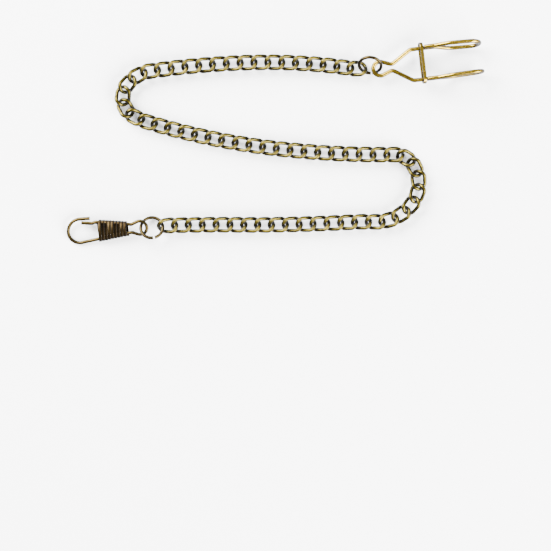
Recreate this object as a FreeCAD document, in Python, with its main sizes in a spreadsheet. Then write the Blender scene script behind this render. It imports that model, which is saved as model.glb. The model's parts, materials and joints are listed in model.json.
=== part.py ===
"""Pocket watch chain: curb links laid in an S, with a jump ring at each end.

One end carries a wire hook whose two legs are bound by a flat-wire coil. The other end
carries a sprung wire clip with two oval jaws and a slide ring. All sizes are in millimetres.
The chain lies on the plane Z = 0, and the origin is under the middle of the whole object.
"""
import FreeCAD, Part
import math
import os
import Sketcher
from FreeCAD import Placement, Rotation, Vector

SIZES = (
    # curb links
    ("link_wire", 1.28),        # wire thickness
    ("link_width", 5.45),       # outer width across the two sides
    ("link_pitch", 4.65),       # step from one link to the next when drawn straight
    ("link_play", 0.12),        # free play between two hooked wires
    ("link_twist", 45.0),       # turn of each end out of the link's plane, in degrees
    ("link_nose", 1.05),        # half the length of the end's straight side, before rounding
    ("link_side", 0.55),        # where the sides start, as a share of the half length
    ("bend_ease", 1.1),         # how quickly two links move apart as they turn
    # jump rings
    ("ring_wire", 1.12),
    ("ring_outer", 8.5),
    ("ring_gap", 8.0),         # opening between the ring's ends, in degrees
    # clasp
    ("hook_wire", 1.16),
    ("hook_height", 9.9),       # outer height of the round hook
    ("hook_reach", 10.3),       # from the binding's mouth to the far side of the hook
    ("nose_reach", 2.0),        # from the binding's mouth to the tip of the hook's nose
    ("gate_lap", 3.0),          # how far the gate runs on under the nose
    ("gate_play", 0.16),        # free play between the gate and the nose
    ("binding_length", 11.0),
    ("binding_wide", 7.9),      # outer width at the mouth
    ("binding_narrow", 5.0),    # outer width at the tail
    ("binding_strip", 0.36),    # thickness of the flat binding wire
    ("binding_play", 0.1),
    ("tail_length", 6.5),       # from the binding to the end of the tail loop
    ("tail_width", 6.7),        # outer width of the tail loop
    # clip
    ("clip_wire", 1.42),
    ("eye_outer", 6.1),         # outer diameter of the clip's eye
    ("waist_reach", 4.0),       # from the eye's centre to the waist
    ("waist_gap", 0.5),         # free gap between the wires at the waist
    ("shoulder_reach", 10.6),   # from the eye's centre to the shoulders
    ("arm_spread", 10.4),       # between the two arms, wire centre to wire centre
    ("jaw_start", 18.9),        # from the eye's centre to the notch of the jaws
    ("jaw_length", 15.6),       # from the notch to the tip
    ("jaw_width", 8.0),         # outer width of the oval jaws, which stand on edge
    ("jaw_toe", 1.7),           # slope of the jaws towards each other, in degrees
    ("upper_lean", 13.0),       # lean of the upper oval out of the upright, in degrees
    ("lower_lean", 3.0),        # lean of the lower oval
    ("slide_place", 14.2),      # from the eye's centre to the slide ring
    ("slide_strip", 0.65),      # thickness of the slide ring's wire across its window
    ("slide_broad", 1.15),      # breadth of the slide ring's wire along the clip
    ("slide_spare", 0.5),       # window length left over beyond the arms
    ("slide_lean", 14.0),       # lean of the slide ring, in degrees
    ("slide_play", 0.14),
    ("joint_gap", 0.2),         # gap where one bent wire flexes and is made as two bodies
    # lie of the pieces
    ("eye_height", 2.6),        # height of the eye's centre above the table
    ("clip_heading", 6.5),      # the clip's direction, in degrees
    ("ring_slack", 0.59),        # free play of a jump ring in the link it holds
    ("tail_slack", 0.87),        # free play of a jump ring in the clasp's tail loop
    ("clip_ring_heading", -8.2),
    ("clip_ring_tilt", 46.9),
    ("clip_ring_gap", -70.0),   # where the ring's ends meet, in degrees round the ring
    ("clip_ring_hook", 217.0),  # where the first link hangs on its ring, in degrees
    ("first_heading", 178.8),
    ("first_roll", 1.6),
    ("first_stand_off", 1.17),   # second link's distance from the steep first one, as a factor
    ("second_dip", 0.0),
    ("clasp_ring_tilt", 25.39),
    ("clasp_ring_gap", -72.0),
    ("last_climb", 3.7),       # how far the last link rises towards its ring, in degrees
    ("last_roll", -9.48),
    ("last_slack", 0.17),       # free play of the jump ring in the last link
    ("clasp_ring_turn", -2.61),
    ("clasp_ring_hook", 12.1),
    ("clasp_ring_tail", 1.63),
    ("clasp_turn", 2.39),        # the clasp's turn from the last link's heading, in degrees
    ("clasp_roll", -9.65),
)

# The lie of the chain from the clip to the clasp: so many links, each turned so many degrees.
ROUTE = (
    (7, 1.35),
    (7, 0.87),
    (2, 21.6),
    (3, 34.0),
    (1, 9.9),
    (9, 1.1),
    (9, 0.85),
    (2, -31.8),
    (3, -22.0),
    (3, -17.4),
    (2, 2.1),
    (8, -0.45),
    (5, 0.43),
)
SECOND_HEADING = 172.5

# Links share nodes where the parts folder would otherwise run over its limit of sixty:
# in every group of five links the fourth and fifth are one node.
GROUP = 5

doc = FreeCAD.newDocument("PocketWatchChain")
sheet = doc.addObject("Spreadsheet::Sheet", "Sizes")
for row, (word, value) in enumerate(SIZES, start=1):
    sheet.set(f"A{row}", word)
    sheet.set(f"B{row}", str(value))
    sheet.setAlias(f"B{row}", word)
doc.recompute()

X = Vector(1, 0, 0)
Y = Vector(0, 1, 0)
Z = Vector(0, 0, 1)


def size(word):
    return float(sheet.get(word))


def unit(vector):
    return Vector(vector).normalize()


def turned(yaw, pitch=0.0, roll=0.0):
    """A heading about Z, then the front end lowered, then a roll about the long axis."""
    return Rotation(Z, yaw) * Rotation(Y, pitch) * Rotation(X, roll)


def fillet_radius(before, corner, after, back):
    """Radius of the arc that starts this far back from a corner."""
    half = unit(before - corner).getAngle(unit(after - corner)) / 2
    return back * math.tan(half)


def bent_edges(corners, radii):
    """Straight runs joined by tangent arcs, one radius for each corner between the ends."""
    edges = []
    start = corners[0]
    for before, corner, after, radius in zip(corners, corners[1:], corners[2:], radii):
        inward = unit(before - corner)
        outward = unit(after - corner)
        half = inward.getAngle(outward) / 2
        back = radius / math.tan(half)
        first = corner + inward * back
        last = corner + outward * back
        middle = corner + unit(inward + outward) * (radius / math.sin(half) - radius)
        if (first - start).Length > 1e-4:
            edges.append(Part.LineSegment(start, first).toShape())
        edges.append(Part.Arc(first, middle, last).toShape())
        start = last
    if (corners[-1] - start).Length > 1e-4:
        edges.append(Part.LineSegment(start, corners[-1]).toShape())
    return edges


def swept_wire(name, edges, thickness, start, direction):
    """A round wire along a path: the thickness is an expression on the sheet."""
    path = doc.addObject("Part::Feature", name + "_path")
    path.Shape = Part.Wire(edges)
    section = doc.addObject("Part::Circle", name + "_section")
    section.setExpression("Radius", f"{thickness} / 2")
    section.Placement = Placement(start, Rotation(Z, direction))
    sweep = doc.addObject("Part::Sweep", name)
    sweep.Sections = [section]
    sweep.Spine = (path, [f"Edge{i + 1}" for i in range(len(path.Shape.Edges))])
    sweep.Solid = True
    sweep.Frenet = False
    sweep.Label = name
    return sweep


def origin_plane(body, role):
    return next(f for f in body.Origin.OriginFeatures if f.Role == role)


# ---------------------------------------------------------------- curb link
LINK_HALF = (size("link_pitch") + size("link_wire") + size("link_play")) / 2


def link_half_corners():
    """The corners of half a link, from the middle of one end to the middle of the other."""
    radius = (size("link_width") - size("link_wire")) / 2
    twist = math.radians(size("link_twist"))
    side = size("link_side")
    nose = size("link_nose")
    end = Vector(LINK_HALF, nose * math.cos(twist), -nose * math.sin(twist))
    flank = Vector(LINK_HALF * side, radius, -radius * math.tan(twist * side))
    return [
        Vector(LINK_HALF, 0, 0),
        end,
        flank,
        Vector(-flank.x, flank.y, -flank.z),
        Vector(-end.x, end.y, -end.z),
        Vector(-LINK_HALF, 0, 0),
    ]


def curb_link():
    """One link: a half swept along arcs, and the same half turned about the long axis."""
    corners = link_half_corners()
    end_back = size("link_nose")
    flank_back = min(
        (corners[2] - corners[1]).Length - size("link_nose"),
        (corners[3] - corners[2]).Length / 2,
    )
    end_radius = fillet_radius(*corners[0:3], end_back)
    flank_radius = fillet_radius(*corners[1:4], flank_back)
    radii = [end_radius, flank_radius, flank_radius, end_radius]
    edges = bent_edges(corners, radii)
    half = swept_wire("link_half", edges, "Sizes.link_wire", corners[0],
                      unit(corners[1] - corners[0]))
    doc.recompute()
    other = half.Shape.copy()
    other.rotate(Vector(), X, 180)
    whole = half.Shape.fuse(other).removeSplitter()
    return whole


# ---------------------------------------------------------------- jump ring
RING_RADIUS = (size("ring_outer") - size("ring_wire")) / 2


def jump_ring(name):
    """An open ring: a round section turned about Z, with its gap beside the +X side."""
    body = doc.addObject("PartDesign::Body", name)
    sketch = body.newObject("Sketcher::SketchObject", name + "_section")
    sketch.AttachmentSupport = [(origin_plane(body, "XZ_Plane"), "")]
    sketch.MapMode = "FlatFace"
    sketch.addGeometry(Part.Circle(Vector(RING_RADIUS, 0, 0), Z, size("ring_wire") / 2))
    sketch.addConstraint(Sketcher.Constraint("PointOnObject", 0, 3, -1))
    reach = sketch.addConstraint(Sketcher.Constraint("DistanceX", -1, 1, 0, 3, RING_RADIUS))
    thick = sketch.addConstraint(Sketcher.Constraint("Diameter", 0, size("ring_wire")))
    sketch.setExpression(f"Constraints[{reach}]", "(Sizes.ring_outer - Sizes.ring_wire) / 2")
    sketch.setExpression(f"Constraints[{thick}]", "Sizes.ring_wire")
    turn = body.newObject("PartDesign::Revolution", name + "_turn")
    turn.Profile = sketch
    turn.ReferenceAxis = (sketch, ["V_Axis"])
    turn.setExpression("Angle", "360 - Sizes.ring_gap")
    body.Label = name
    return body


# ---------------------------------------------------------------- clasp
# The clasp's own frame: X runs from the tail loop to the hook, and the gate is on the -Y side.
HOOK_R = size("hook_wire") / 2
MOUTH = size("tail_length") + size("binding_length")
FAR = MOUTH + size("hook_reach") - HOOK_R
LEG_INSET = HOOK_R + size("binding_play") + size("binding_strip")
WIDE_LEG = size("binding_wide") / 2 - LEG_INSET
NARROW_LEG = size("binding_narrow") / 2 - LEG_INSET
TAIL_LEG = (size("tail_width") - size("hook_wire")) / 2
HOOK_LEG = (size("hook_height") - size("hook_wire")) / 2
PIVOT_X = size("tail_length") + size("binding_length") * 0.45


def leg_y(x):
    """How far a leg stands from the middle inside the binding."""
    share = (x - size("tail_length")) / size("binding_length")
    return NARROW_LEG + (WIDE_LEG - NARROW_LEG) * share


def hook_wire():
    """Nose, round hook, lower leg, tail loop and upper leg, bent from one wire."""
    tail_rise = TAIL_LEG * 1.22
    tail_bend = size("tail_length") - 0.8
    mouth_bend = MOUTH + 0.8
    corners = [
        Vector(MOUTH + size("nose_reach"), -HOOK_LEG, 0),
        Vector(FAR, -HOOK_LEG, 0),
        Vector(FAR, HOOK_LEG, 0),
        Vector(mouth_bend, leg_y(mouth_bend), 0),
        Vector(tail_bend, leg_y(tail_bend), 0),
        Vector(HOOK_R, tail_rise, 0),
        Vector(HOOK_R, -tail_rise, 0),
        Vector(tail_bend, -leg_y(tail_bend), 0),
        Vector(PIVOT_X, -leg_y(PIVOT_X), 0),
    ]
    upper_round = fillet_radius(*corners[0:3], HOOK_LEG * 0.99)
    lower_round = fillet_radius(*corners[1:4], HOOK_LEG * 0.99)
    tail_round = TAIL_LEG * 0.82
    radii = [upper_round, lower_round, 3.0, 1.6, tail_round, tail_round, 1.6]
    return swept_wire("clasp_hook_wire", bent_edges(corners, radii), "Sizes.hook_wire",
                      corners[0], unit(corners[1] - corners[0]))


GATE_PIVOT = Vector(PIVOT_X + size("joint_gap") / 2, -leg_y(PIVOT_X), 0)


def gate_leg():
    """The springing leg: it leaves the binding, steps inwards and ends under the nose."""
    start_x = PIVOT_X + size("joint_gap")
    under_nose = HOOK_LEG - size("hook_wire") - size("gate_play")
    nose_x = MOUTH + size("nose_reach")
    mouth_bend = MOUTH + 0.4
    corners = [
        Vector(start_x, -leg_y(start_x), 0),
        Vector(mouth_bend, -leg_y(mouth_bend), 0),
        Vector(nose_x - 0.6, -(under_nose - 0.45), 0),
        Vector(nose_x + size("gate_lap"), -under_nose, 0),
    ]
    return swept_wire("clasp_gate_leg", bent_edges(corners, [2.0, 2.0]), "Sizes.hook_wire",
                      corners[0], unit(corners[1] - corners[0]))


def slot_wire(x, half_width, half_depth):
    """A long round-ended outline across the clasp's axis."""
    flat = half_width - half_depth
    edges = [
        Part.LineSegment(Vector(x, -flat, half_depth), Vector(x, flat, half_depth)).toShape(),
        Part.Arc(Vector(x, flat, half_depth), Vector(x, half_width, 0),
                 Vector(x, flat, -half_depth)).toShape(),
        Part.LineSegment(Vector(x, flat, -half_depth), Vector(x, -flat, -half_depth)).toShape(),
        Part.Arc(Vector(x, -flat, -half_depth), Vector(x, -half_width, 0),
                 Vector(x, -flat, half_depth)).toShape(),
    ]
    return Part.Wire(edges)


def binding():
    """The tapering coil of flat wire round both legs, as one hollow sleeve."""
    inner_depth = HOOK_R + size("binding_play")
    outer_depth = inner_depth + size("binding_strip")
    ends = ((size("tail_length"), size("binding_narrow") / 2), (MOUTH, size("binding_wide") / 2))
    outer = Part.makeLoft([slot_wire(x, half, outer_depth) for x, half in ends], True, True)
    strip = size("binding_strip")
    inner = Part.makeLoft([slot_wire(x, half - strip, inner_depth) for x, half in ends],
                          True, True)
    sleeve = doc.addObject("Part::Feature", "clasp_binding")
    sleeve.Shape = outer.cut(inner)
    sleeve.Label = "clasp_binding"
    return sleeve


# ---------------------------------------------------------------- clip
# The clip's own frame: origin at the eye's centre, X towards the tips, upper side +Y.
CLIP_R = size("clip_wire") / 2
EYE_RADIUS = (size("eye_outer") - size("clip_wire")) / 2
HALF_SPREAD = size("arm_spread") / 2
WAIST = Vector(size("waist_reach"), (size("waist_gap") + size("clip_wire")) / 2, 0)
SHOULDER = Vector(size("shoulder_reach"), HALF_SPREAD, 0)
FLEX_REACH = 1.9
SLOPE = unit(SHOULDER - WAIST)
FLEX = WAIST + SLOPE * (FLEX_REACH + size("joint_gap") / 2)
JAW_HALF = (size("jaw_width") - size("clip_wire")) / 2
LEAN_TAN = math.tan(math.radians(size("slide_lean")))
LEAN_COS = math.cos(math.radians(size("slide_lean")))
LEAN_SIN = math.sin(math.radians(size("slide_lean")))
WINDOW_DEPTH = (size("clip_wire") + 2 * size("slide_play")
                + size("slide_broad") * LEAN_SIN) / LEAN_COS
WINDOW_LENGTH = (size("arm_spread") + size("clip_wire") + 2 * size("slide_play")
                 + size("slide_spare"))


def mirrored(points):
    return [Vector(p.x, -p.y, p.z) for p in points]


def clip_eye():
    """The eye and the two necks, up to where the arms start to flex."""
    reach = math.hypot(WAIST.x, WAIST.y)
    angle = math.atan2(WAIST.y, WAIST.x) + math.acos(EYE_RADIUS / reach)
    touch = Vector(EYE_RADIUS * math.cos(angle), EYE_RADIUS * math.sin(angle), 0)
    neck = [WAIST + SLOPE * FLEX_REACH, WAIST, touch]
    low = mirrored(neck)[::-1]
    back = Vector(-EYE_RADIUS, 0, 0)
    edges = bent_edges(neck, [1.6])
    edges.append(Part.Arc(touch, back, low[0]).toShape())
    edges += bent_edges(low, [1.6])
    return swept_wire("clip_eye", edges, "Sizes.clip_wire", neck[0], SLOPE * -1)


def clip_jaw(name, lean, side):
    """Arm, shoulder and oval jaw of one wire, whose end lies back along the arm."""
    toe = math.radians(size("jaw_toe"))
    along = Vector(math.cos(toe), -side * math.sin(toe), 0)
    sideways = Vector(side * math.sin(toe), math.cos(toe), 0)
    across = sideways * math.sin(math.radians(lean)) + Z * math.cos(math.radians(lean))
    notch = Vector(size("jaw_start"), side * HALF_SPREAD, 0)
    tip = size("jaw_length") - CLIP_R
    swell = tip * 0.32
    back_lift = size("clip_wire") * 1.12
    slide_half = (size("slide_broad") / 2 * LEAN_COS
                  + (WINDOW_DEPTH / 2 + size("slide_strip")) * LEAN_SIN)
    tail_end = size("slide_place") + slide_half + size("slide_play") - size("jaw_start")
    start = WAIST + SLOPE * (FLEX_REACH + size("joint_gap"))
    oval = [(swell, -JAW_HALF), (tip, -JAW_HALF), (tip, JAW_HALF), (swell, JAW_HALF),
            (0.0, back_lift)]
    corners = [
        Vector(start.x, side * start.y, 0),
        Vector(SHOULDER.x, side * SHOULDER.y, 0),
        notch,
    ]
    corners += [notch + along * s + across * w for s, w in oval]
    corners.append(Vector(size("jaw_start") + tail_end, notch.y, 0) + across * back_lift)
    round_tip = JAW_HALF * 0.98
    radii = [2.2, 1.8, 5.0, round_tip, round_tip, 5.0, 1.8]
    return swept_wire(name, bent_edges(corners, radii), "Sizes.clip_wire", corners[0],
                      unit(corners[1] - corners[0]))


def slide_ring():
    """A flat-sided loop round both arms, in its own frame: window across Y, breadth along X."""
    body = doc.addObject("PartDesign::Body", "clip_slide_ring")
    sketch = body.newObject("Sketcher::SketchObject", "slide_outline")
    sketch.AttachmentSupport = [(origin_plane(body, "YZ_Plane"), "")]
    sketch.MapMode = "FlatFace"
    for grow in (0.0, size("slide_strip")):
        half_depth = WINDOW_DEPTH / 2 + grow
        flat = WINDOW_LENGTH / 2 + grow - half_depth
        add_slot(sketch, flat, half_depth)
    pad = body.newObject("PartDesign::Pad", "slide_band")
    pad.Profile = sketch
    pad.SideType = "Symmetric"
    pad.setExpression("Length", "Sizes.slide_broad")
    doc.recompute()
    edges = [f"Edge{i + 1}" for i, edge in enumerate(pad.Shape.Edges)
             if abs(edge.BoundBox.XLength) < 1e-6]
    soft = body.newObject("PartDesign::Fillet", "slide_soft_edges")
    soft.Base = (pad, edges)
    soft.setExpression("Radius", "Sizes.slide_strip * 0.28")
    body.Label = "clip_slide_ring"
    return body


def add_slot(sketch, flat, radius):
    """A round-ended outline, tangent at every join, with its two sizes held."""
    first = sketch.GeometryCount
    sketch.addGeometry([
        Part.LineSegment(Vector(-flat, radius, 0), Vector(flat, radius, 0)),
        Part.ArcOfCircle(Part.Circle(Vector(flat, 0, 0), Z, radius), -math.pi / 2, math.pi / 2),
        Part.LineSegment(Vector(flat, -radius, 0), Vector(-flat, -radius, 0)),
        Part.ArcOfCircle(Part.Circle(Vector(-flat, 0, 0), Z, radius),
                         math.pi / 2, 3 * math.pi / 2),
    ])
    top, right, bottom, left = range(first, first + 4)
    for one, end, two, start in ((top, 2, right, 2), (right, 1, bottom, 1),
                                 (bottom, 2, left, 2), (left, 1, top, 1)):
        sketch.addConstraint(Sketcher.Constraint("Tangent", one, end, two, start))
    sketch.addConstraint(Sketcher.Constraint("Symmetric", right, 3, left, 3, -1, 1))
    sketch.addConstraint(Sketcher.Constraint("PointOnObject", right, 3, -1))
    sketch.addConstraint(Sketcher.Constraint("Distance", right, 3, left, 3, 2 * flat))
    sketch.addConstraint(Sketcher.Constraint("Radius", right, radius))


# ---------------------------------------------------------------- lie of the pieces
TABLE_GAP = 0.02
LINK_HOOK = LINK_HALF - (size("link_wire") + size("ring_wire")) / 2 - size("ring_slack")


def tilted(heading, tilt):
    """A ring's level diameter and, square to it, the diameter that climbs by the tilt."""
    level = Rotation(Z, heading).multVec(X)
    climb = math.radians(tilt)
    rise = Rotation(Z, heading).multVec(Vector(0, math.cos(climb), math.sin(climb)))
    return level, rise


def ring_height(tilt):
    """Height of a tilted ring's centre when its low side touches the table."""
    return RING_RADIUS * math.sin(math.radians(tilt)) + size("ring_wire") / 2 + TABLE_GAP


def round_ring(level, rise, angle):
    """A direction in the ring's plane, at this angle from its level diameter."""
    turn = math.radians(angle)
    return level * math.cos(turn) + rise * math.sin(turn)


def ring_placement(centre, level, rise, gap_at):
    """Turns the ring so that the gap, on its own +X side, comes at this angle."""
    side = round_ring(level, rise, gap_at)
    normal = level.cross(rise)
    return Placement(centre, Rotation(side, normal.cross(side), normal, "XYZ"))


def link_gap(turn, ease):
    """Distance between two hooked end wires whose links turn by this many degrees."""
    return (size("link_wire") + size("link_play")) * (
        1 + ease * math.sin(math.radians(turn / 2)) ** 2)


def next_link(last, rotation, gap_direction, gap):
    """Places a link so that its rear end hooks into the front end of the last one."""
    front = last.Base + last.Rotation.multVec(X * LINK_HALF)
    rear = front - gap_direction * gap
    return Placement(rear + rotation.multVec(X * LINK_HALF), rotation)


link_shape = curb_link()
LINK_HEIGHT = -link_shape.BoundBox.ZMin + TABLE_GAP

# the clip rests on its jaws, with its eye held up by the ring
jaw_rest = size("jaw_start") + (size("jaw_length") - CLIP_R) * 0.32
clip_dip = math.degrees(math.asin((size("jaw_width") / 2 - size("eye_height")) / jaw_rest))
clip_place = Placement(Vector(0, 0, size("eye_height")),
                       turned(size("clip_heading"), -clip_dip))

# the clip's ring leans on the table and its wire passes through the middle of the eye
level, rise = tilted(size("clip_ring_heading"), size("clip_ring_tilt"))
centre_height = ring_height(size("clip_ring_tilt"))
eye_at = math.degrees(math.asin(
    (size("eye_height") - centre_height)
    / (RING_RADIUS * math.sin(math.radians(size("clip_ring_tilt"))))))
clip_ring_centre = clip_place.Base - round_ring(level, rise, eye_at) * RING_RADIUS
clip_ring_place = ring_placement(clip_ring_centre, level, rise, size("clip_ring_gap"))
first_hook = round_ring(level, rise, size("clip_ring_hook"))
first_hook_point = clip_ring_centre + first_hook * RING_RADIUS

# the first link comes down steeply from its ring, and the third lies flat
third_gap = link_gap(size("second_dip"), size("bend_ease"))
second_drop = (2 * LINK_HALF - third_gap) * math.sin(math.radians(size("second_dip")))
first_run = LINK_HALF + LINK_HOOK - size("first_stand_off") * (
    size("link_wire") + size("link_play"))
first_dip = math.degrees(math.asin(
    (first_hook_point.z - LINK_HEIGHT - second_drop) / first_run))
first_turn = turned(size("first_heading"), first_dip, size("first_roll"))
first_axis = first_turn.multVec(X)
link_places = [Placement(first_hook_point + first_axis * LINK_HOOK, first_turn)]
heading = SECOND_HEADING
second_turn = turned(heading, size("second_dip"))
link_places.append(next_link(
    link_places[0], second_turn, first_axis,
    size("first_stand_off") * (size("link_wire") + size("link_play"))))

# the rest lie flat and follow the route
for count, turn in ROUTE:
    for _ in range(count):
        middle = Rotation(Z, heading + turn / 2).multVec(X)
        heading += turn
        gap = link_gap(turn, size("bend_ease"))
        link_places.append(next_link(link_places[-1], turned(heading), middle, gap))

# the last link climbs and rolls a little to meet the clasp's ring
last_turn = turned(heading, -size("last_climb"), size("last_roll"))
last_gap = link_gap(size("last_roll"), size("bend_ease"))
link_places[-1] = next_link(link_places[-2], last_turn,
                            link_places[-2].Rotation.multVec(X), last_gap)
last_reach = LINK_HALF - (size("link_wire") + size("ring_wire")) / 2 - size("last_slack")
last_hook_point = link_places[-1].multVec(X * last_reach)

level, rise = tilted(heading - 180 + size("clasp_ring_turn"), -size("clasp_ring_tilt"))
last_hook = round_ring(level, rise, size("clasp_ring_hook"))
clasp_ring_centre = last_hook_point - last_hook * RING_RADIUS
clasp_ring_place = ring_placement(clasp_ring_centre, level, rise, size("clasp_ring_gap"))
tail_hook = round_ring(level, rise, 180 + size("clasp_ring_tail"))
tail_hook_point = clasp_ring_centre + tail_hook * RING_RADIUS

# the clasp hangs on the ring by its tail loop, and its hook touches the table
tail_inside = size("hook_wire") + size("ring_wire") / 2 + size("tail_slack")
clasp_dip = math.degrees(math.asin(
    (tail_hook_point.z - HOOK_R - TABLE_GAP) / (FAR - tail_inside)))
clasp_turn = turned(heading + size("clasp_turn"), clasp_dip, size("clasp_roll"))
clasp_place = Placement(tail_hook_point - clasp_turn.multVec(X * tail_inside), clasp_turn)

# ---------------------------------------------------------------- pieces
pieces = []


def add_piece(piece, placement):
    pieces.append(piece)
    piece.Placement = placement


eye = clip_eye()
upper_jaw = clip_jaw("clip_upper_jaw", size("upper_lean"), 1)
lower_jaw = clip_jaw("clip_lower_jaw", size("lower_lean"), -1)
slide = slide_ring()
clip_ring = jump_ring("clip_ring")
clasp_ring = jump_ring("clasp_ring")
hook = hook_wire()
gate = gate_leg()
sleeve = binding()
doc.recompute()

slide_centre = Vector(size("slide_place"), size("slide_spare") / 2, 0)
slide_turn = Rotation(Y, size("slide_lean"))
add_piece(eye, clip_place)
add_piece(upper_jaw, clip_place)
add_piece(lower_jaw, clip_place)
add_piece(slide, clip_place * Placement(slide_centre, slide_turn))
add_piece(clip_ring, clip_ring_place)
add_piece(clasp_ring, clasp_ring_place)
add_piece(hook, clasp_place)
add_piece(gate, clasp_place)
add_piece(sleeve, clasp_place)


def link_groups():
    """Link numbers by node: three single links, then two that share a node."""
    groups = []
    number = 1
    while number <= len(link_places):
        shared = number % GROUP == GROUP - 1 and number < len(link_places)
        groups.append([number, number + 1] if shared else [number])
        number += len(groups[-1])
    return groups


for numbers in link_groups():
    name = "link_" + "_".join(f"{number:02d}" for number in numbers)
    lead = link_places[numbers[0] - 1]
    solids = []
    for number in numbers:
        solid = link_shape.copy()
        solid.Placement = lead.inverse() * link_places[number - 1]
        solids.append(solid)
    piece = doc.addObject("Part::Feature", name)
    piece.Shape = solids[0] if len(solids) == 1 else Part.makeCompound(solids)
    piece.Label = name
    add_piece(piece, lead)

doc.recompute()

# the origin goes under the middle of the whole object
box = FreeCAD.BoundBox()
for piece in pieces:
    box.add(piece.Shape.optimalBoundingBox(False))
shift = Vector(-box.Center.x, -box.Center.y, -box.ZMin)
for piece in pieces:
    piece.Placement = Placement(shift, Rotation()) * piece.Placement
doc.recompute()

# ---------------------------------------------------------------- checks and export
faults = [f"{thing.Name}: {thing.State}" for thing in doc.Objects
          if "Invalid" in thing.State or "Error" in thing.State]
for piece in pieces:
    if piece.Shape.isNull() or not piece.Shape.isValid() or not piece.Shape.Solids:
        faults.append(f"{piece.Label}: no valid solid")
if faults:
    raise RuntimeError("; ".join(faults))

os.makedirs("parts", exist_ok=True)
for piece in pieces:
    piece.Shape.exportStep(f"parts/{piece.Label}.step")
print(len(pieces), "nodes,", sum(len(piece.Shape.Solids) for piece in pieces), "solids")
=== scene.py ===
"""Looks for the pocket watch chain: curb links, two jump rings, a bound wire hook, a sprung clip.

Everything is in metres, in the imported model's own frame. The chain lies on the plane Z = 0.
"""

import json
import math

import bmesh
import bpy
from mathutils import Matrix, Vector


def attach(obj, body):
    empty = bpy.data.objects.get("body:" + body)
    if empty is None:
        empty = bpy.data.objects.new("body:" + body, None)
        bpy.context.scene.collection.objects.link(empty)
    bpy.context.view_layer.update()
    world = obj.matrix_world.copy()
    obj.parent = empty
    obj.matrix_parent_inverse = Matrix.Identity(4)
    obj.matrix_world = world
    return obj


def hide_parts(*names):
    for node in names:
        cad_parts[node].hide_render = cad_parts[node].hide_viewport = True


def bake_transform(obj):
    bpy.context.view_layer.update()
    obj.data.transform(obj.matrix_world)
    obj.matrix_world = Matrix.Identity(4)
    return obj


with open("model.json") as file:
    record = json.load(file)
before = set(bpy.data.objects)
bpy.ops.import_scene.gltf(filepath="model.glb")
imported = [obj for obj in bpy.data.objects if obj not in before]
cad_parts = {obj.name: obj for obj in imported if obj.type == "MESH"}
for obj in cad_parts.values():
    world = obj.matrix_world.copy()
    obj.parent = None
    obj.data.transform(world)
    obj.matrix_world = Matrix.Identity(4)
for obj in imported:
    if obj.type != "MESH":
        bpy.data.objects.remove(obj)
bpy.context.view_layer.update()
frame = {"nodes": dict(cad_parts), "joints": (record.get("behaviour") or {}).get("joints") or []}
joints = {joint["name"]: joint for joint in frame["joints"]}
nodes = frame["nodes"]
MM = 0.001


# ------------------------------------------------------------------ colours and materials
def linear(hex_colour):
    """An sRGB hex colour as the linear RGBA that a shader takes."""
    parts = [int(hex_colour[i:i + 2], 16) / 255 for i in (1, 3, 5)]
    return [c / 12.92 if c <= 0.04045 else ((c + 0.055) / 1.055) ** 2.4 for c in parts] + [1.0]


def add(tree, kind, settings=None, **inputs):
    """Adds a node, sets its settings, and sets or links each input.
    An input is named by its label, or by _ and its number where labels repeat."""
    node = tree.nodes.new(kind)
    for word, value in (settings or {}).items():
        setattr(node, word, value)
    for word, value in inputs.items():
        key = int(word[1:]) if word[1:].isdigit() else word.replace("_", " ")
        socket = node.inputs[key]
        if isinstance(value, bpy.types.NodeSocket):
            tree.links.new(value, socket)
        else:
            socket.default_value = value
    return node


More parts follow.
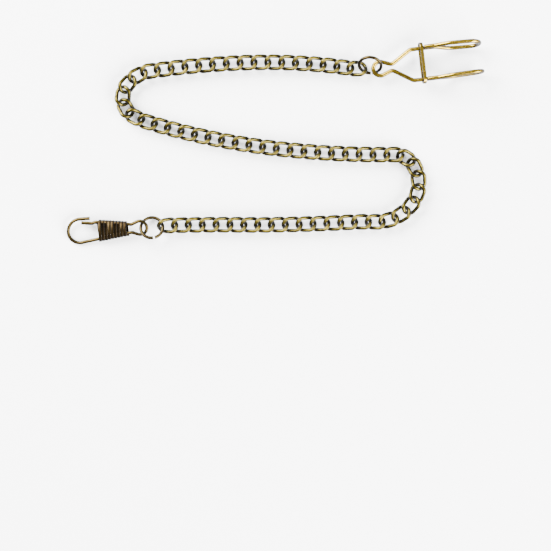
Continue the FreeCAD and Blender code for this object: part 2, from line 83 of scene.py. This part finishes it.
def antiqued_brass(name, bright, middle, dark, polish_and_sheen_level, patina, roughness):
    """Brass, plated and antiqued: dark patina and a painted shade in the hollows and between hooked
    wires, a painted shade on faces turned away from straight up, and tumbled, polished brass with a
    painted sheen on faces that look up, with small blotches and fine tumbling scratches."""
    material = bpy.data.materials.new(name)
    material.use_nodes = True
    tree = material.node_tree
    tree.nodes.clear()
    place = add(tree, "ShaderNodeTexCoord")
    point = place.outputs["Object"]
    facing = add(tree, "ShaderNodeSeparateXYZ", _0=place.outputs["Normal"])

    # blotches of patina about 1.5 mm across
    blotch = add(tree, "ShaderNodeTexNoise", Vector=point, Scale=650.0, Detail=4.0, Roughness=0.6)
    # tumbling marks about 0.15 mm across, coarse enough to show
    grain = add(tree, "ShaderNodeTexNoise", Vector=point, Scale=6000.0, Detail=3.0, Roughness=0.7)
    # hollows between hooked wires, within 1.4 mm, take the dark patina and a painted shade
    hollow = add(tree, "ShaderNodeAmbientOcclusion", {"samples": 8}, Distance=1.4 * MM)
    clear_of_patina_and_shade = add(tree, "ShaderNodeMapRange", {"interpolation_type": "SMOOTHSTEP"},
                   Value=hollow.outputs["AO"], From_Min=0.25, From_Max=0.95)
    # faces that look up are lighter, partly from wear that rubs off the patina and partly as a
    # painted sheen; faces turned aside get a painted shade
    tops_lit_and_rubbed = add(tree, "ShaderNodeMapRange", {"interpolation_type": "SMOOTHSTEP"},
                Value=facing.outputs["Z"], From_Min=0.3, From_Max=polish_and_sheen_level)
    rubbed_and_lit = add(tree, "ShaderNodeMath", {"operation": "MULTIPLY"},
               _0=clear_of_patina_and_shade.outputs[0], _1=tops_lit_and_rubbed.outputs[0])
    blotched = add(tree, "ShaderNodeMapRange", Value=blotch.outputs[0],
                   From_Min=0.35, From_Max=0.65, To_Min=-patina, To_Max=patina)
    brass_shown_and_lit = add(tree, "ShaderNodeMath", {"operation": "ADD", "use_clamp": True},
                _0=rubbed_and_lit.outputs[0], _1=blotched.outputs[0])
    ramp = add(tree, "ShaderNodeValToRGB", Fac=brass_shown_and_lit.outputs[0])
    stops = ramp.color_ramp.elements
    stops[0].position, stops[0].color = 0.08, linear(dark)
    stops[1].position, stops[1].color = 0.95, linear(bright)
    stop = stops.new(0.6)
    stop.color = linear(middle)

    matt = add(tree, "ShaderNodeMapRange", Value=brass_shown_and_lit.outputs[0],
               To_Min=roughness + 0.3, To_Max=roughness)
    # patina is a dull oxide, and the brass shows its mirror only where the oxide is rubbed off
    bare = add(tree, "ShaderNodeMapRange", Value=brass_shown_and_lit.outputs[0], From_Min=0.04, From_Max=0.3)
    bump = add(tree, "ShaderNodeBump", Strength=0.12, Distance=0.03 * MM, Height=grain.outputs[0])
    dents = add(tree, "ShaderNodeBump", Strength=0.25, Distance=0.12 * MM,
                Height=blotch.outputs[0], Normal=bump.outputs[0])
    metal = add(tree, "ShaderNodeBsdfPrincipled", Base_Color=ramp.outputs[0],
                Roughness=matt.outputs[0], Normal=dents.outputs[0], Metallic=bare.outputs[0])
    out = add(tree, "ShaderNodeOutputMaterial")
    tree.links.new(metal.outputs[0], out.inputs["Surface"])
    return material


# Name, then the polished colour with its painted sheen, the middle colour, and the patina colour
# with its painted shade. Then how squarely up a face looks before it is fully polished and lit by
# the painted sheen, the strength of the blotches, and the roughness of the polished brass.
# The links: olive black, with a narrow painted yellow sheen along each top.
chain_brass = antiqued_brass("antiqued_brass_chain", "#5c5120", "#1c190b", "#070603",
                             1.1, 0.14, 0.28)
# The jump rings: darker and browner than the links, with little painted sheen.
ring_brass = antiqued_brass("antiqued_brass_rings", "#463b22", "#1b160c", "#070603",
                            1.12, 0.12, 0.28)
# The clip: the brightest and most golden piece, with brown only at its edges, where a painted shade
# falls on its sides.
clip_brass = antiqued_brass("tumbled_brass_clip", "#947b28", "#3e3112", "#130d06",
                            1.02, 0.1, 0.26)
# The hook and its gate: a brown olive wire with a soft painted line of light along its top.
clasp_brass = antiqued_brass("antiqued_brass_clasp", "#4c3f22", "#1f190d", "#080704",
                             1.1, 0.12, 0.28)
# The wrap: dark brown, and dull, with patina and a painted shade between its turns.
binding_brass = antiqued_brass("dark_antiqued_brass_wrap", "#3a2f1c", "#17110a", "#060403",
                               1.25, 0.1, 0.3)

for name, node in nodes.items():
    finish = chain_brass
    if name in ("clip_ring", "clasp_ring"):
        finish = ring_brass
    elif name.startswith("clip"):
        finish = clip_brass
    elif name.startswith("clasp"):
        finish = clasp_brass
    node.data.materials.clear()
    node.data.materials.append(finish)
    for face in node.data.polygons:
        face.material_index = 0


# ------------------------------------------------------------------ wires
def bend_points(corners, radii, step=math.radians(7)):
    """The points of straight runs joined by tangent arcs, one radius for each inner corner."""
    points = [corners[0]]
    for before, corner, after, radius in zip(corners, corners[1:], corners[2:], radii):
        inward = (before - corner).normalized()
        outward = (after - corner).normalized()
        half = inward.angle(outward) / 2
        centre = corner + (inward + outward).normalized() * (radius / math.sin(half))
        first = corner + inward * (radius / math.tan(half)) - centre
        last = corner + outward * (radius / math.tan(half)) - centre
        turn = first.angle(last)
        count = max(2, round(turn / step))
        points += [centre + first.slerp(last, k / count) * radius for k in range(count + 1)]
    points.append(corners[-1])
    return points


def wire(name, points, thickness, ends=0.22, sides=5, joined_start=False):
    """A round wire through points, as a closed mesh with eased ends.
    A joined start stays square, because it meets the next length of the same wire."""
    curve = bpy.data.curves.new(name, "CURVE")
    curve.dimensions = "3D"
    curve.bevel_depth = thickness / 2
    curve.bevel_resolution = sides
    curve.twist_mode = "MINIMUM"
    line = curve.splines.new("POLY")
    line.points.add(len(points) - 1)
    for spot, point in zip(line.points, points):
        spot.co = (*point, 1.0)
    source = bpy.data.objects.new(name + "_line", curve)
    mesh = bpy.data.meshes.new_from_object(source)
    mesh.name = name
    bpy.data.objects.remove(source)
    shape = bmesh.new()
    shape.from_mesh(mesh)
    bmesh.ops.remove_doubles(shape, verts=shape.verts, dist=1e-7)
    open_edges = [edge for edge in shape.edges if edge.is_boundary]
    caps = bmesh.ops.holes_fill(shape, edges=open_edges, sides=0)["faces"]
    if joined_start:
        first = min(caps, key=lambda face: (face.calc_center_median() - points[0]).length)
        caps.remove(first)
        for edge in first.edges:
            edge.smooth = False
    rims = [edge for face in caps for edge in face.edges]
    bmesh.ops.bevel(shape, geom=rims, offset=thickness * ends, segments=3, profile=0.5,
                    affect="EDGES", material=-1)
    return finish_mesh(shape, mesh, name)


def finish_mesh(shape, mesh, name):
    """Faces the mesh outwards, smooths it, and returns it as a piece of the scene."""
    bmesh.ops.recalc_face_normals(shape, faces=shape.faces)
    for face in shape.faces:
        face.smooth = True
    shape.to_mesh(mesh)
    shape.free()
    piece = bpy.data.objects.new(name, mesh)
    bpy.context.scene.collection.objects.link(piece)
    return piece


# ------------------------------------------------------------------ clip
# The clip's sizes are the CAD's, in mm, measured from the eye's centre along the slide's axis.
CLIP_WIRE = 1.42 * MM
EYE_RADIUS = 2.34          # to the middle of the wire
WAIST = (4.0, 0.96)        # where the two arms come closest
SHOULDER = (10.6, 5.2)     # where the arms turn parallel
JAW_START = 18.9           # where the oval jaws begin
JAW_HALF = 3.29            # half the width of the oval
JAW_TIP = 14.89            # from the jaw's start to its tip
END_LIFT = 1.590           # from the arm's middle to the end laid on it
END_START = 15.3           # where that end stops on the arm
TOE_IN = math.radians(1.7)
UPPER_LEAN, LOWER_LEAN = 13.0, 3.0
flex_up = Vector(joints["upper_jaw_spring"]["pos_m"])
flex_low = Vector(joints["lower_jaw_spring"]["pos_m"])
clip_x = Vector(joints["slide_ring_slide"]["axis"]).normalized()
clip_z = Vector(joints["upper_jaw_spring"]["axis"]).normalized()
clip_y = clip_z.cross(clip_x)
FLEX_X = 5.683 * MM
clip_origin = (flex_up + flex_low) / 2 - clip_x * FLEX_X


def clip_at(x, y, z=0.0):
    """A point in the clip's own frame, in mm from the eye's centre, as a row point."""
    return clip_origin + (clip_x * x + clip_y * y + clip_z * z) * MM


def clip_side(side, lean):
    """Half of the clip's wire: half the eye, neck, arm, oval jaw and the end laid on the arm."""
    touch = math.atan2(WAIST[1], WAIST[0]) + math.acos(EYE_RADIUS / math.hypot(*WAIST))
    eye = [clip_at(EYE_RADIUS * math.cos(a), side * EYE_RADIUS * math.sin(a))
           for a in [math.pi + (touch - math.pi) * k / 16 for k in range(17)]]
    # the oval lies in a plane that leans from upright and toes in towards the other jaw
    tilt = math.radians(lean)
    along = (math.cos(TOE_IN), -side * math.sin(TOE_IN), 0.0)
    across = (side * math.sin(TOE_IN) * math.sin(tilt), math.cos(TOE_IN) * math.sin(tilt),
              math.cos(tilt))
    notch = (JAW_START, side * SHOULDER[1])
    loop = [(JAW_TIP * 0.32, -JAW_HALF), (JAW_TIP, -JAW_HALF), (JAW_TIP, JAW_HALF),
            (JAW_TIP * 0.32, JAW_HALF), (0.0, END_LIFT)]
    corners = [eye[-1], clip_at(WAIST[0], side * WAIST[1]),
               clip_at(SHOULDER[0], side * SHOULDER[1]), clip_at(*notch)]
    corners += [clip_at(notch[0] + along[0] * s + across[0] * w,
                        notch[1] + along[1] * s + across[1] * w, across[2] * w) for s, w in loop]
    corners.append(clip_at(END_START, notch[1] + across[1] * END_LIFT, across[2] * END_LIFT))
    tip_radius = JAW_HALF * 0.98
    radii = [r * MM for r in (1.6, 2.2, 1.8, 5.0, tip_radius, tip_radius, 5.0, 1.8)]
    return eye[:-1] + bend_points(corners, radii)


# Each half of the clip's wire runs from the eye to the jaw.
for side, lean, jaw, flex in ((1, UPPER_LEAN, "clip_upper_jaw", flex_up),
                              (-1, LOWER_LEAN, "clip_lower_jaw", flex_low)):
    piece = wire(jaw + "_wire", clip_side(side, lean), CLIP_WIRE, joined_start=True)
    piece.data.materials.append(clip_brass)
    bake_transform(piece)
    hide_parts(*((jaw, "clip_eye") if side > 0 else (jaw,)))

# ------------------------------------------------------------------ wrap of the wire hook
tail_point = Vector(joints["clasp_swing"]["pos_m"])
gate_pivot = Vector(joints["gate_spring"]["pos_m"])
clasp_z = Vector(joints["gate_spring"]["axis"]).normalized()
# Where the clasp's two hinges lie in its own frame, in mm from the tail's end, as in the CAD.
TAIL_X = 2.59
PIVOT_X, PIVOT_Y = 11.55, -2.1125
slant = math.atan2(PIVOT_Y, PIVOT_X - TAIL_X)
clasp_x = (gate_pivot - tail_point).normalized()
clasp_x.rotate(Matrix.Rotation(-slant, 3, clasp_z))
clasp_y = clasp_z.cross(clasp_x)
clasp_origin = tail_point - clasp_x * TAIL_X * MM


def wrap_coil(name, start, end, narrow, wide, turns, strip, broad, radius):
    """Flat wire wound round both legs: a rounded section turned round each leg in turn."""
    shape = bmesh.new()
    pitch = (end - start - broad) / turns
    x = start + broad / 2

    def leg(at):
        return narrow + (wide - narrow) * (at - start) / (end - start)

    bmesh.ops.create_grid(shape, x_segments=1, y_segments=1, size=0.5)
    bmesh.ops.scale(shape, verts=shape.verts, vec=(broad, strip, 1.0))
    bmesh.ops.bevel(shape, geom=shape.verts[:], offset=strip * 0.32, segments=2, profile=0.5,
                    affect="VERTICES", material=-1)
    # the section's thickness is turned from Y to Z, and it is set above the first leg
    bmesh.ops.rotate(shape, verts=shape.verts, cent=(0, 0, 0),
                     matrix=Matrix.Rotation(math.pi / 2, 3, "X"))
    bmesh.ops.translate(shape, verts=shape.verts, vec=(x, leg(x), radius))
    geom = shape.faces[:] + shape.edges[:] + shape.verts[:]
    side, steps = 1, 9
    for _ in range(round(turns * 2)):
        done = bmesh.ops.spin(shape, geom=geom, cent=(x, side * leg(x), 0), axis=(-1, 0, 0),
                              dvec=(pitch / 4 / steps, 0, 0), angle=math.pi, steps=steps,
                              use_merge=False, use_normal_flip=False, use_duplicate=False)
        across = leg(x)
        x += pitch / 2
        last = [part for part in done["geom_last"] if isinstance(part, bmesh.types.BMFace)]
        done = bmesh.ops.extrude_face_region(shape, geom=last)
        verts = [part for part in done["geom"] if isinstance(part, bmesh.types.BMVert)]
        bmesh.ops.translate(shape, verts=verts, vec=(pitch / 4, -side * (across + leg(x)), 0))
        geom = done["geom"]
        side = -side
    turn = Matrix((clasp_x, clasp_y, clasp_z)).transposed().to_4x4()
    bmesh.ops.transform(shape, matrix=Matrix.Translation(clasp_origin) @ turn @ Matrix.Scale(MM, 4),
                        verts=shape.verts)
    mesh = bpy.data.meshes.new(name)
    return finish_mesh(shape, mesh, name)


wrap = wrap_coil("clasp_wrap", start=6.5, end=17.5, narrow=1.46, wide=2.91, turns=9.5,
                 strip=0.36, broad=0.98, radius=0.86)
wrap.data.materials.append(binding_brass)
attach(wrap, "clasp")
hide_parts("clasp_binding")

# ------------------------------------------------------------------ floor, light and camera
floor_shape = bmesh.new()
bmesh.ops.create_grid(floor_shape, x_segments=1, y_segments=1, size=1.5)
floor_mesh = bpy.data.meshes.new("floor")
floor_shape.to_mesh(floor_mesh)
floor_shape.free()
floor = bpy.data.objects.new("floor", floor_mesh)
bpy.context.scene.collection.objects.link(floor)
paper = bpy.data.materials.new("white_paper_sweep")
paper.use_nodes = True
paper.node_tree.nodes["Principled BSDF"].inputs["Base Color"].default_value = linear("#fcfcfc")
paper.node_tree.nodes["Principled BSDF"].inputs["Roughness"].default_value = 0.9
floor_mesh.materials.append(paper)

# a dim even surround, so that the tops of the wires stay dark and the softboxes draw the lines
world = bpy.data.worlds.new("studio")
bpy.context.scene.world = world
world.use_nodes = True
world.node_tree.nodes["Background"].inputs["Color"].default_value = linear("#f2f4f6")
world.node_tree.nodes["Background"].inputs["Strength"].default_value = 0.5


def softbox(name, spot, size, power, aim=(0.0, 0.0, 0.0)):
    """A wide rectangular light, in watts, turned towards the middle of the chain."""
    lamp = bpy.data.lights.new(name, "AREA")
    lamp.shape = "RECTANGLE"
    lamp.size, lamp.size_y = size
    lamp.energy = power
    light = bpy.data.objects.new(name, lamp)
    light.location = spot
    light.rotation_euler = (Vector(aim) - Vector(spot)).to_track_quat("-Z", "Y").to_euler()
    bpy.context.scene.collection.objects.link(light)


softbox("key_softbox", (-0.7, 0.65, 0.55), (1.0, 0.8), 135.0)
softbox("fill_softbox", (0.8, -0.55, 0.55), (1.0, 0.8), 110.0)

camera_data = bpy.data.cameras.new("camera")
camera = bpy.data.objects.new("camera", camera_data)
bpy.context.scene.collection.objects.link(camera)
bpy.context.scene.camera = camera
HEIGHT = 0.56              # above the table, looking straight down
FRAME_WIDTH = 0.1857       # how much of the table the picture spans
FRAME_DROP = 0.0449        # how far the picture's middle lies below the chain's
SENSOR_WIDTH = 36.0        # in mm, as the lens is
camera_data.sensor_width = SENSOR_WIDTH
camera_data.lens = SENSOR_WIDTH * HEIGHT / FRAME_WIDTH
camera.location = (0.0002, 0.0, HEIGHT)
camera_data.shift_y = -FRAME_DROP / FRAME_WIDTH
